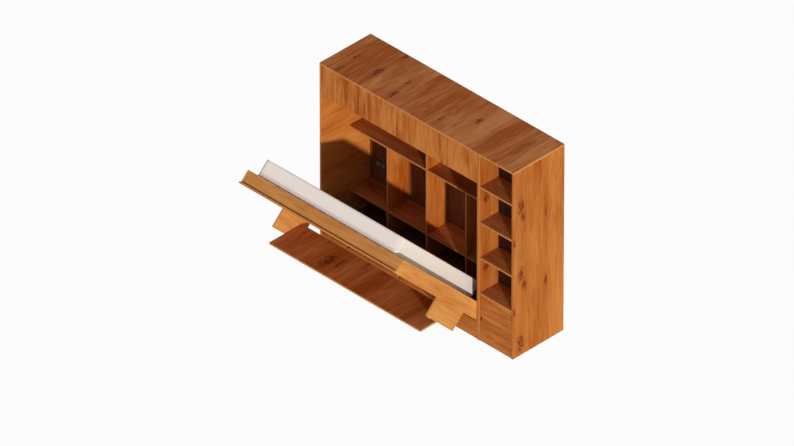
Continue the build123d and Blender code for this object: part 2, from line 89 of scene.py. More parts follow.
def ramp(tree, value, low, high, toLow=0.0, toHigh=1.0):
    # smooth step from low to high
    inputs = {"Value": value, "From Min": low, "From Max": high, "To Min": toLow, "To Max": toHigh}
    return put(tree, "ShaderNodeMapRange", inputs, interpolation_type="SMOOTHSTEP").outputs[0]


def stretch(tree, vector, scale):
    return put(tree, "ShaderNodeMapping", {"Vector": vector, "Scale": scale}).outputs[0]


def noise(tree, vector, scale=1.0, detail=2.0, roughness=0.5):
    inputs = {"Vector": vector, "Scale": scale, "Detail": detail, "Roughness": roughness}
    return put(tree, "ShaderNodeTexNoise", inputs)


def newGroup(name, inputs, outputs):
    group = bpy.data.node_groups.new(name, "ShaderNodeTree")
    for label, kind in inputs:
        group.interface.new_socket(name=label, in_out="INPUT", socket_type=kind)
    for label, kind in outputs:
        group.interface.new_socket(name=label, in_out="OUTPUT", socket_type=kind)
    return group, put(group, "NodeGroupInput"), put(group, "NodeGroupOutput")


def newMaterial(name):
    material = bpy.data.materials.new(name)
    material.use_nodes = True
    tree = material.node_tree
    tree.nodes.clear()
    shader = put(tree, "ShaderNodeBsdfPrincipled")
    put(tree, "ShaderNodeOutputMaterial", {"Surface": shader.outputs[0]})
    return material, tree, shader


def bump(tree, shader, height, strength, distance):
    inputs = {"Height": height, "Strength": strength, "Distance": distance}
    tree.links.new(put(tree, "ShaderNodeBump", inputs).outputs[0], shader.inputs["Normal"])


# board grain: Z runs along the fibres, in metres
grain = {
    "driftScale": (2.0, 2.0, 1.5),
    "driftReach": 0.06,
    "broadScale": (3.2, 3.2, 0.45),
    "figureScale": (12.0, 12.0, 2.0),
    "figureTwist": 1.4,
    "streakScale": (36.0, 36.0, 2.2),
    "lineScale": (62.0, 62.0, 2.2),
    "fibreScale": (240.0, 240.0, 7.0),
    "raggedScale": (24.0, 24.0, 11.0),
    "markScale": (52.0, 52.0, 22.0),
    "weights": {"broad": 2.0, "figure": 1.3, "streak": 1.2, "fibre": 0.7},
    "knotPush": 1.3,
    "nearEdge": (0.2, 2.4),
    "markTwist": 1.2,
    "markPull": 0.25,
    "markEdge": (0.60, 0.76),
    "coreEdge": (0.03, 0.35),
    "haloRagged": 1.8,
    "haloEdge": (0.3, 2.8),
    "lineEdge": (0.58, 0.72),
    "lineDepth": 0.30,
    "haloDepth": 0.45,
    "coreDepth": 0.85,
    "roughBase": 0.46,
    "roughSpan": 0.12,
}
grainInputs = [
    ("Vector", "NodeSocketVector"),
    ("Away", "NodeSocketFloat"),
    ("Tail", "NodeSocketFloat"),
    ("Pale", "NodeSocketColor"),
    ("Deep", "NodeSocketColor"),
    ("Knot", "NodeSocketColor"),
    ("Contrast", "NodeSocketFloat"),
]
grainOutputs = [("Color", "NodeSocketColor"), ("Roughness", "NodeSocketFloat"), ("Height", "NodeSocketFloat")]


def makeGrainGroup():
    tree, given, result = newGroup("boardGrain", grainInputs, grainOutputs)
    place = given.outputs["Vector"]
    # slow drift that bends the fibres
    drift = noise(tree, stretch(tree, place, grain["driftScale"])).outputs["Color"]
    centred = vector2(tree, "SUBTRACT", drift, (0.5, 0.5, 0.5))
    reach = (grain["driftReach"], grain["driftReach"], 0.0)
    bend = {0: centred, 1: reach, 2: place}
    moved = put(tree, "ShaderNodeVectorMath", bend, operation="MULTIPLY_ADD").outputs[0]
    # knots: a cluster of dark marks inside a soft halo that trails along the fibres
    near = ramp(tree, given.outputs["Away"], *grain["nearEdge"], 1.0, 0.0)
    marks = noise(tree, stretch(tree, place, grain["markScale"]), detail=3.0, roughness=0.6)
    marks.inputs["Distortion"].default_value = grain["markTwist"]
    spotted = addScaled(tree, marks.outputs["Fac"], near, grain["markPull"], 0.0)
    spots = ramp(tree, spotted, *grain["markEdge"])
    core = math2(tree, "MULTIPLY", spots, ramp(tree, near, *grain["coreEdge"]))
    ragged = noise(tree, stretch(tree, place, grain["raggedScale"]), detail=4.0, roughness=0.65)
    torn = {"value": ragged.outputs["Fac"], "factor": grain["haloRagged"], "offset": -grain["haloRagged"] / 2}
    halo = ramp(tree, addScaled(tree, given.outputs["Tail"], **torn), *grain["haloEdge"], 1.0, 0.0)
    # the figure parts around the knots
    push = math2(tree, "MULTIPLY", halo, grain["knotPush"])
    pushed = put(tree, "ShaderNodeCombineXYZ", {0: push, 1: push}).outputs[0]
    flow = vector2(tree, "ADD", stretch(tree, moved, grain["figureScale"]), pushed)
    layers = {
        "broad": noise(tree, stretch(tree, moved, grain["broadScale"])),
        "figure": noise(tree, flow, detail=3.0),
        "streak": noise(tree, stretch(tree, moved, grain["streakScale"]), detail=4.0, roughness=0.6),
        "fibre": noise(tree, stretch(tree, moved, grain["fibreScale"])),
    }
    layers["figure"].inputs["Distortion"].default_value = grain["figureTwist"]
    tone = None
    for name, weight in grain["weights"].items():
        part = addScaled(tree, 0.0, layers[name].outputs["Fac"], weight, -0.5 * weight)
        tone = part if tone is None else math2(tree, "ADD", tone, part)
    tone = math2(tree, "MULTIPLY", tone, given.outputs["Contrast"])
    tone = put(tree, "ShaderNodeMath", {0: tone, 1: 0.5}, operation="ADD", use_clamp=True).outputs[0]
    # fine dark lines along the fibres
    lineNoise = noise(tree, stretch(tree, moved, grain["lineScale"]), detail=3.0, roughness=0.6)
    lines = ramp(tree, lineNoise.outputs["Fac"], *grain["lineEdge"])
    colour = mixColour(tree, tone, given.outputs["Pale"], given.outputs["Deep"])
    lined = math2(tree, "MULTIPLY", lines, grain["lineDepth"])
    colour = mixColour(tree, lined, colour, given.outputs["Knot"])
    colour = mixColour(tree, math2(tree, "MULTIPLY", halo, grain["haloDepth"]), colour, given.outputs["Deep"])
    colour = mixColour(tree, math2(tree, "MULTIPLY", core, grain["coreDepth"]), colour, given.outputs["Knot"])
    tree.links.new(colour, result.inputs["Color"])
    roughness = addScaled(tree, grain["roughBase"], tone, grain["roughSpan"], 0.0)
    tree.links.new(roughness, result.inputs["Roughness"])
    height = math2(tree, "ADD", layers["streak"].outputs["Fac"], layers["fibre"].outputs["Fac"])
    height = math2(tree, "SUBTRACT", height, math2(tree, "ADD", lines, core))
    tree.links.new(height, result.inputs["Height"])
    return tree


knotOutputs = [("Away", "NodeSocketFloat"), ("Tail", "NodeSocketFloat")]
knotShapes = {"Away": (1.0, 1.0, 1.0), "Tail": (0.8, 0.8, 0.25)}
smallKnots = {"cells": (2.4, 2.4, 1.1), "chance": (0.45, 1.0), "radius": (0.004, 0.085), "tail": 0.6}


def makeKnotGroup():
    # how far a point is from one knot, where 1 is its edge, and from the longer tail it draws
    sockets = [("Vector", "NodeSocketVector"), ("Centre", "NodeSocketVector"), ("Size", "NodeSocketVector")]
    tree, given, result = newGroup("knotMark", sockets, knotOutputs)
    shifted = vector2(tree, "SUBTRACT", given.outputs["Vector"], given.outputs["Centre"])
    sized = vector2(tree, "DIVIDE", shifted, given.outputs["Size"])
    for label, shape in knotShapes.items():
        shaped = vector2(tree, "MULTIPLY", sized, shape)
        length = put(tree, "ShaderNodeVectorMath", {0: shaped}, operation="LENGTH").outputs["Value"]
        tree.links.new(length, result.inputs[label])
    return tree


def makeScatterGroup():
    # small knots here and there: some cells have one, most have none
    sockets = [("Vector", "NodeSocketVector"), ("Amount", "NodeSocketFloat")]
    tree, given, result = newGroup("scatteredKnots", sockets, knotOutputs)
    spaced = stretch(tree, given.outputs["Vector"], smallKnots["cells"])
    cells = put(tree, "ShaderNodeTexVoronoi", {"Vector": spaced, "Scale": 1.0})
    chance = put(tree, "ShaderNodeSeparateColor", {0: cells.outputs["Color"]}).outputs[0]
    radius = ramp(tree, chance, *smallKnots["chance"], *smallKnots["radius"])
    radius = math2(tree, "MULTIPLY", radius, given.outputs["Amount"])
    away = math2(tree, "DIVIDE", cells.outputs["Distance"], radius)
    tree.links.new(away, result.inputs["Away"])
    tree.links.new(math2(tree, "MULTIPLY", away, smallKnots["tail"]), result.inputs["Tail"])
    return tree


bandEdge = (0.35, 0.85)


def makeBandGroup():
    # 1 on the narrow edges of a board, 0 on its two faces
    sockets = [("Normal", "NodeSocketVector"), ("Across", "NodeSocketVector")]
    tree, given, result = newGroup("edgeBand", sockets, [("Mask", "NodeSocketFloat")])
    both = {0: given.outputs["Normal"], 1: given.outputs["Across"]}
    dot = put(tree, "ShaderNodeVectorMath", both, operation="DOT_PRODUCT").outputs["Value"]
    facing = put(tree, "ShaderNodeMath", {0: dot}, operation="ABSOLUTE").outputs[0]
    tree.links.new(ramp(tree, facing, *bandEdge, 1.0, 0.0), result.inputs["Mask"])
    return tree


grainGroup = makeGrainGroup()
knotGroup = makeKnotGroup()
scatterGroup = makeScatterGroup()
bandGroup = makeBandGroup()
print("shared node groups made")

# middle tones in linear colour; pale, deep and knot follow from them
tones = {
    "side": (0.442, 0.147, 0.0275),
    # fascia and top are painted light: lighter tones that make up for the little light falling on the front and
    # the top
    "fascia": (0.480, 0.152, 0.0315),
    "top": (0.500, 0.166, 0.0490),
    "desk": (0.425, 0.146, 0.0415),
    "bed": (0.565, 0.246, 0.068),
    "bedEnd": (0.615, 0.280, 0.077),
    "wall": (0.580, 0.184, 0.034),
    "divider": (0.525, 0.152, 0.027),
    # back and nicheBackShade are painted shade: darker tones for the back panels deep inside the bay and the tower
    # niches
    "back": (0.195, 0.072, 0.031),
    "nicheBackShade": (0.073, 0.028, 0.017),
    "shelf": (0.475, 0.132, 0.036),
    "towerShelf": (0.405, 0.120, 0.034),
    # deck is painted shade: a darker tone for the drawer deck low in the bay
    "deck": (0.130, 0.042, 0.015),
    "niche": (0.445, 0.128, 0.023),
    "door": (0.455, 0.152, 0.033),
    "birch": (0.620, 0.420, 0.220),
}
spread = {"Pale": (1.24, 1.47, 1.72), "Deep": (0.76, 0.53, 0.32), "Knot": (0.27, 0.10, 0.03)}
bandColour = (0.62, 0.275, 0.095, 1.0)
boardFinish = {"bandMix": 0.35, "specular": 0.05, "relief": 0.25, "reliefDepth": 0.0012}
axes = {"X": (1.0, 0.0, 0.0), "Y": (0.0, 1.0, 0.0), "Z": (0.0, 0.0, 1.0)}
grainTurn = {"X": (0.0, -math.pi / 2, 0.0), "Y": (math.pi / 2, 0.0, 0.0), "Z": (0.0, 0.0, 0.0)}

# grain: the axis along the fibres; across: the board's thickness; knots: how many small ones
drawerFront = {"grain": "X", "across": "Y", "tone": "fascia", "shift": (3.6, 2.4, 6.2), "knots": 0.3}
boards = {
    "bed_side_left": {
        "grain": "Y", "across": "X", "tone": "wall",
        "shift": (0.3, 0.2, 0.9), "knots": 0.8, "contrast": 0.75,
    },
    "bed_side_right": {
        "grain": "Z", "across": "X", "tone": "side",
        "shift": (1.7, 0.6, 2.1), "knots": 0.6, "banded": False,
    },
    "tower_side_left": {
        "grain": "Z", "across": "X", "tone": "niche",
        "shift": (2.3, 3.1, 0.4), "knots": 0.6,
    },
    "tower_side_right": {
        "grain": "Z", "across": "X", "tone": "side",
        "shift": (3.9, 1.4, 0.2), "knots": 0.3, "contrast": 0.75, "banded": False,
    },
    "bed_top": {
        "grain": "Y", "across": "Z", "tone": "top",
        "shift": (0.8, 4.4, 1.0), "knots": 0.4, "contrast": 1.25,
    },
    "tower_top": {
        "grain": "Y", "across": "Z", "tone": "top",
        "shift": (5.2, 2.6, 3.3), "knots": 0.2, "contrast": 1.2,
    },
    "fascia": {
        "grain": "Z", "across": "Y", "tone": "fascia",
        "shift": (2.2, 5.8, 0.7), "knots": 0.3, "contrast": 1.5,
    },
    "bay_back": {
        "grain": "Z", "across": "Y", "tone": "back",
        "shift": (6.1, 0.4, 2.8), "knots": 0.5,
    },
    "tower_back": {
        "grain": "Z", "across": "Y", "tone": "back",
        "shift": (4.5, 6.3, 1.2), "knots": 0.5,
    },
    "tower_niche_back": {
        "grain": "Z", "across": "Y", "tone": "nicheBackShade",
        "shift": (1.1, 7.2, 4.0), "knots": 0.5,
    },
    "divider_1": {
        "grain": "Z", "across": "X", "tone": "divider",
        "shift": (7.3, 2.2, 0.5), "knots": 0.7,
    },
    "divider_2": {
        "grain": "Z", "across": "X", "tone": "divider",
        "shift": (8.4, 1.8, 3.6), "knots": 0.7,
    },
    "divider_3": {
        "grain": "Z", "across": "X", "tone": "divider",
        "shift": (9.6, 3.7, 1.9), "knots": 0.7,
    },
    "upper_shelves": {
        "grain": "X", "across": "Z", "tone": "shelf",
        "shift": (3.2, 8.5, 0.3), "knots": 0.5,
    },
    "lower_shelves": {
        "grain": "X", "across": "Z", "tone": "shelf",
        "shift": (4.8, 9.1, 2.4), "knots": 0.5,
    },
    "cupboard_top": {
        "grain": "X", "across": "Z", "tone": "towerShelf",
        "shift": (6.6, 4.9, 1.5), "knots": 0.5,
    },
    "tower_shelves": {
        "grain": "X", "across": "Z", "tone": "towerShelf",
        "shift": (7.9, 5.7, 0.8), "knots": 0.5,
    },
    "base_panel": {
        "grain": "X", "across": "Z", "tone": "shelf",
        "shift": (2.9, 0.9, 5.1), "knots": 0.5,
    },
    "tower_base": {
        "grain": "X", "across": "Z", "tone": "shelf",
        "shift": (8.8, 6.8, 4.2), "knots": 0.5,
    },
    "drawer_deck": {
        "grain": "X", "across": "Z", "tone": "deck",
        "shift": (5.5, 7.7, 3.0), "knots": 0.5,
    },
    "drawer_partitions": {
        "grain": "Y", "across": "X", "tone": "shelf",
        "shift": (9.3, 8.2, 2.7), "knots": 0.4,
    },
    "tower_door": {
        "grain": "X", "across": "Y", "tone": "door",
        "shift": (1.5, 9.9, 0.1), "knots": 0.2, "contrast": 1.4,
    },
    **{"drawer_front_" + number: drawerFront for number in "123"},
    "desk_top": {
        "grain": "Y", "across": "Z", "tone": "desk",
        "shift": (0.6, 3.3, 7.4), "knots": 0.3, "contrast": 1.2,
    },
    "facade": {
        "grain": "Z", "across": "Y", "tone": "fascia",
        "shift": (2.2, 5.8, 0.7), "knots": 0.4, "bed": True,
    },
    "end_board_left": {
        "grain": "Z", "across": "X", "tone": "bedEnd",
        "shift": (6.9, 1.0, 5.8), "knots": 0.1, "contrast": 0.6, "bed": True,
    },
    "end_board_right": {
        "grain": "Z", "across": "X", "tone": "bedEnd",
        "shift": (1.9, 6.0, 8.6), "knots": 0.1, "contrast": 0.6, "bed": True,
    },
    "low_rail": {
        "grain": "X", "across": "Z", "tone": "bed",
        "shift": (8.1, 4.1, 6.6), "knots": 0.1, "contrast": 0.6, "bed": True,
    },
    "high_rail": {
        "grain": "X", "across": "Z", "tone": "bed",
        "shift": (5.9, 8.9, 7.1), "knots": 0.1, "contrast": 0.6, "bed": True,
    },
}
# knots that show: place on the board, reach across and along the fibres, in metres
knotsAt = {
    "bed_top": [
        ((-1.201, -0.029, 2.325), 0.016, 0.045),
        ((-0.853, -0.071, 2.325), 0.026, 0.080),
        ((-0.843, 0.323, 2.325), 0.018, 0.035),
        ((-0.503, 0.018, 2.325), 0.013, 0.055),
        ((-0.460, -0.219, 2.325), 0.024, 0.075),
        ((0.497, 0.043, 2.325), 0.024, 0.050),
        ((0.185, -0.208, 2.325), 0.010, 0.040),
        ((-1.170, -0.330, 2.325), 0.012, 0.110),
    ],
    "tower_side_right": [
        ((1.395, -0.255, 1.851), 0.034, 0.070),
        ((1.395, -0.220, 1.733), 0.028, 0.060),
        ((1.395, -0.255, 1.011), 0.034, 0.070),
        ((1.395, -0.209, 0.867), 0.028, 0.060),
        ((1.395, -0.255, 0.161), 0.034, 0.070),
        ((1.395, 0.103, 1.622), 0.016, 0.060),
        ((1.395, 0.103, 0.762), 0.016, 0.060),
        ((1.395, -0.350, 1.451), 0.014, 0.040),
        ((1.395, -0.350, 0.576), 0.014, 0.040),
    ],
    "tower_side_left": [
        ((0.921, -0.280, 1.754), 0.030, 0.045),
        ((0.921, -0.280, 0.885), 0.030, 0.045),
    ],
    "desk_top": [
        ((-0.682, -0.958, 0.491), 0.046, 0.110),
        ((-0.560, -0.900, 0.491), 0.020, 0.090),
    ],
    "fascia": [((-0.837, -0.370, 2.132), 0.006, 0.160), ((-0.274, -0.370, 2.013), 0.006, 0.100)],
}


def alongFibres(tree, place, board):
    # object coordinates turned and shifted so that Z runs along this board's fibres
    turn = {"Vector": place, "Rotation": grainTurn[board["grain"]], "Location": board["shift"]}
    return put(tree, "ShaderNodeMapping", turn).outputs[0]


def knotDistance(tree, along, name, board):
    nearest = put(tree, "ShaderNodeGroup", node_tree=scatterGroup)
    fill(tree, nearest, {"Vector": along, "Amount": board["knots"]})
    away, tail = nearest.outputs["Away"], nearest.outputs["Tail"]
    turned = Euler(grainTurn[board["grain"]]).to_matrix()
    for spot, across, lengthwise in knotsAt.get(name, []):
        centre = turned @ Vector(spot) + Vector(board["shift"])
        mark = put(tree, "ShaderNodeGroup", node_tree=knotGroup)
        fill(tree, mark, {"Vector": along, "Centre": centre, "Size": (across, across, lengthwise)})
        away = math2(tree, "MINIMUM", away, mark.outputs["Away"])
        tail = math2(tree, "MINIMUM", tail, mark.outputs["Tail"])
    return away, tail


def boardMaterial(name, board):
    material, tree, shader = newMaterial(name + "_wood")
    coord = put(tree, "ShaderNodeTexCoord")
    place, normal = coord.outputs["Object"], coord.outputs["Normal"]
    if board.get("bed"):
        untilt = (-bedTilt, 0.0, 0.0)
        place = put(tree, "ShaderNodeMapping", {"Vector": place, "Rotation": untilt}).outputs[0]
        turn = {"Vector": normal, "Rotation": untilt}
        normal = put(tree, "ShaderNodeMapping", turn, vector_type="VECTOR").outputs[0]
    along = alongFibres(tree, place, board)
    away, tail = knotDistance(tree, along, name, board)
    inputs = {"Vector": along, "Away": away, "Tail": tail, "Contrast": board.get("contrast", 1.0)}
    for socket, factor in spread.items():
        inputs[socket] = (*(m * f for m, f in zip(tones[board["tone"]], factor)), 1.0)
    fibres = put(tree, "ShaderNodeGroup", node_tree=grainGroup)
    fill(tree, fibres, inputs)
    colour = fibres.outputs["Color"]
    if board.get("banded", True):
        band = put(tree, "ShaderNodeGroup", node_tree=bandGroup)
        fill(tree, band, {"Normal": normal, "Across": axes[board["across"]]})
        banded = mixColour(tree, boardFinish["bandMix"], bandColour, colour)
        colour = mixColour(tree, band.outputs["Mask"], colour, banded)
    tree.links.new(colour, shader.inputs["Base Color"])
    tree.links.new(fibres.outputs["Roughness"], shader.inputs["Roughness"])
    shader.inputs["Specular IOR Level"].default_value = boardFinish["specular"]
    bump(tree, shader, fibres.outputs["Height"], boardFinish["relief"], boardFinish["reliefDepth"])
    return material


def dress(name, material):
    slots = nodes[name].data.materials
    slots.clear()
    slots.append(material)


for name, board in boards.items():
    dress(name, boardMaterial(name, board))
dress("chain_covers", bpy.data.materials["end_board_left_wood"])  # faced with the boards' own wood
print("boards dressed:", len(boards))

# plain birch for the slats, their bearers and the drawer trays
birchPieces = {
    "slats": {"grain": "Z", "bed": True},
    "slat_ledgers": {"grain": "X", "bed": True},
    "centre_beam": {"grain": "X", "bed": True},
    "drawer_tray_1": {"grain": "Y"},
    "drawer_tray_2": {"grain": "Y"},
    "drawer_tray_3": {"grain": "Y"},
}
for index, (name, piece) in enumerate(birchPieces.items()):
    plain = {"across": "X", "tone": "birch", "shift": (0.7 * index, 1.3, 0.0), "knots": 0.15, "contrast": 0.8}
    dress(name, boardMaterial(name, {**piece, **plain, "banded": False}))
print("birch pieces dressed:", len(birchPieces))

# metals and plastics
metalFinish = {"clouds": 18.0, "roughEdge": (0.25, 0.75), "relief": 0.12, "reliefDepth": 0.0003}
plasticFinish = {
    "clouds": 30.0,
    "specks": 900.0,
    "roughEdge": (0.3, 0.7),
    "relief": 0.15,
    "reliefDepth": 0.0002,
}


def metalMaterial(name, look):
    material, tree, shader = newMaterial(name)
    place = put(tree, "ShaderNodeTexCoord").outputs["Object"]
    scratches = noise(tree, stretch(tree, place, look["brush"]), detail=3.0).outputs["Fac"]
    clouds = noise(tree, place, scale=metalFinish["clouds"], detail=3.0).outputs["Fac"]
    shade = mixColour(tree, clouds, (*look["dark"], 1.0), (*look["light"], 1.0))
    tree.links.new(shade, shader.inputs["Base Color"])
    rough = ramp(tree, scratches, *metalFinish["roughEdge"], *look["rough"])
    tree.links.new(rough, shader.inputs["Roughness"])
    shader.inputs["Metallic"].default_value = 1.0
    bump(tree, shader, scratches, metalFinish["relief"], metalFinish["reliefDepth"])
    return material


def plasticMaterial(name, look):
    material, tree, shader = newMaterial(name)
    place = put(tree, "ShaderNodeTexCoord").outputs["Object"]
    speck = noise(tree, place, scale=plasticFinish["specks"]).outputs["Fac"]
    clouds = noise(tree, place, scale=plasticFinish["clouds"]).outputs["Fac"]
    shade = mixColour(tree, clouds, (*look["dark"], 1.0), (*look["light"], 1.0))
    tree.links.new(shade, shader.inputs["Base Color"])
    rough = ramp(tree, clouds, *plasticFinish["roughEdge"], *look["rough"])
    tree.links.new(rough, shader.inputs["Roughness"])
    bump(tree, shader, speck, plasticFinish["relief"], plasticFinish["reliefDepth"])
    return material


steel = {
    "light": (0.62, 0.63, 0.65),
    "dark": (0.46, 0.47, 0.49),
    "brush": (40.0, 900.0, 900.0),
    "rough": (0.28, 0.46),
}
bronze = {
    "light": (0.30, 0.17, 0.075),
    "dark": (0.17, 0.09, 0.04),
    "brush": (60.0, 700.0, 700.0),
    "rough": (0.30, 0.48),
}
browned = {
    "light": (0.42, 0.20, 0.075),
    "dark": (0.30, 0.13, 0.045),
    "brush": (40.0, 900.0, 900.0),
    "rough": (0.40, 0.55),
}
nylon = {"light": (0.80, 0.80, 0.77), "dark": (0.70, 0.70, 0.67), "rough": (0.45, 0.60)}
socketBlack = {"light": (0.045, 0.042, 0.040), "dark": (0.030, 0.028, 0.027), "rough": (0.30, 0.45)}
socketGrey = {"light": (0.26, 0.27, 0.26), "dark": (0.20, 0.21, 0.205), "rough": (0.40, 0.55)}
metalOf = {"steel": metalMaterial("brushedSteel", steel), "bronze": metalMaterial("bushBronze", bronze)}
plasticOf = {
    "nylon": plasticMaterial("glideNylon", nylon),
    "socket_dark": plasticMaterial("socketBlack", socketBlack),
    "socket_grey": plasticMaterial("socketGrey", socketGrey),
}
slotOf = {part["node"]: part["material_slot"] for part in frame["record"]["subparts"]}
for name, slotName in slotOf.items():
    finish = metalOf.get(slotName) or plasticOf.get(slotName)
    if finish:
        dress(name, finish)
brownedSteel = metalMaterial("brownedSteel", browned)
for name in ("door_hinge_leaves", "door_hinge_knuckles", "door_hinge_pins"):
    dress(name, brownedSteel)
print("metal and plastic dressed")

# mattress
mattress = {
    "corner": 0.040,
    "cornerCuts": 6,
    "lowEdge": 0.003,
    "highEdge": 0.007,
    "edgeCuts": 3,
    "tolerance": 1e-5,
    "crown": 0.003,
    "domePower": 6,
    "slack": 0.002,
    "cell": 0.040,
    "pressure": 2.0,
    "steps": 16,
    "stiffness": 40.0,
    "bending": 6.0,
    "cap": 0.004,
    "still": 0.035,
    "border": 0.038,
    "tapeRadius": 0.003,
    "tapeRounds": 2,
    "tapeHigh": 0.012,
}


def shutTurn():
    # from the bed drawn shut to where it rests
    return Matrix.Translation(hingePoint) @ Matrix.Rotation(bedTilt, 4, "X") @ Matrix.Translation(-hingePoint)


def shutBox(name):
    # a bed node's box with the bed turned back upright
    back = shutTurn().inverted()
    points = [back @ v.co for v in nodes[name].data.vertices]
    low = Vector(min(p[i] for p in points) for i in range(3))
    high = Vector(max(p[i] for p in points) for i in range(3))
    return low, high


def bevel(bm, edges, offset, segments):
    shape = {"offset": offset, "segments": segments, "profile": 0.5, "affect": "EDGES", "material": -1}
    bmesh.ops.bevel(bm, geom=edges, **shape)


def cutAt(bm, spot, direction):
    everything = bm.verts[:] + bm.edges[:] + bm.faces[:]
    plane = {"plane_co": spot, "plane_no": direction, "dist": mattress["tolerance"]}
    return bmesh.ops.bisect_plane(bm, geom=everything, **plane)["geom_cut"]


def makeMattress(low, high, look):
    top = high.y - look["crown"]
    slack = 2 * look["slack"]
    size = Vector((high.x - low.x - slack, top - low.y, high.z - low.z - slack))
    middle = Vector(((low.x + high.x) / 2, (low.y + top) / 2, (low.z + high.z) / 2))
    bm = bmesh.new()
    bmesh.ops.create_cube(bm, size=1.0, matrix=Matrix.Translation(middle) @ Matrix.Diagonal((*size, 1.0)))
    corners = [e for e in bm.edges if abs(e.verts[0].co.y - e.verts[1].co.y) > size.y / 2]
    bevel(bm, corners, look["corner"], look["cornerCuts"])
    for level, offset in ((top, look["highEdge"]), (low.y, look["lowEdge"])):
        rim = [e for e in bm.edges if all(abs(v.co.y - level) < look["tolerance"] for v in e.verts)]
        bevel(bm, rim, offset, look["edgeCuts"])
    # an even grid of cells, for the cloth
    for axis in (0, 2, 1):
        count = max(2, round(size[axis] / look["cell"]))
        for i in range(1, count):
            spot, direction = Vector(low), Vector((0.0, 0.0, 0.0))
            spot[axis] = middle[axis] + size[axis] * (i / count - 0.5)
            direction[axis] = 1.0
            cutAt(bm, spot, direction)
    mesh = bpy.data.meshes.new("mattress_cover")
    bm.to_mesh(mesh)
    bm.free()
    piece = bpy.data.objects.new("mattress_cover", mesh)
    scene.collection.objects.link(piece)
    return piece


def applyModifiers(piece):
    graph = bpy.context.evaluated_depsgraph_get()
    made = bpy.data.meshes.new_from_object(piece.evaluated_get(graph))
    old = piece.data
    piece.modifiers.clear()
    piece.data = made
    bpy.data.meshes.remove(old)


def inflate(piece, look):
    # swell under pressure
    start = [v.co.copy() for v in piece.data.vertices]
    cloth = piece.modifiers.new("swell", "CLOTH")
    settings = cloth.settings
    settings.use_pressure = True
    settings.uniform_pressure_force = look["pressure"]
    settings.tension_stiffness = look["stiffness"]
    settings.compression_stiffness = look["stiffness"]
    settings.bending_stiffness = look["bending"]
    settings.effector_weights.gravity = 0.0
    for step in range(1, look["steps"] + 1):
        scene.frame_set(step)
    applyModifiers(piece)
    base = min(home.y for home in start)
    for vertex, home in zip(piece.data.vertices, start):
        shift = vertex.co - home
        if home.y < base + look["still"]:
            vertex.co = home  # the base lies flat on its slats
        elif shift.length > look["cap"]:
            vertex.co = home + shift.normalized() * look["cap"]
    scene.frame_set(1)


def settle(piece, low, high, look):
    # a soft crown on top, flat underneath, all within the CAD solid's box
    middle, half = (low + high) / 2, (high - low) / 2
    for vertex in piece.data.vertices:
        spot = vertex.co
        across = min(1.0, abs(spot.x - middle.x) / half.x)
        up = min(1.0, abs(spot.z - middle.z) / half.z)
        dome = (1 - across ** look["domePower"]) * (1 - up ** look["domePower"])
        if spot.y > middle.y:
            spot.y = min(spot.y, high.y - look["crown"]) + look["crown"] * dome
        spot.y = max(spot.y, low.y)
        spot.x = min(max(spot.x, low.x), high.x)
        spot.z = min(max(spot.z, low.z), high.z)


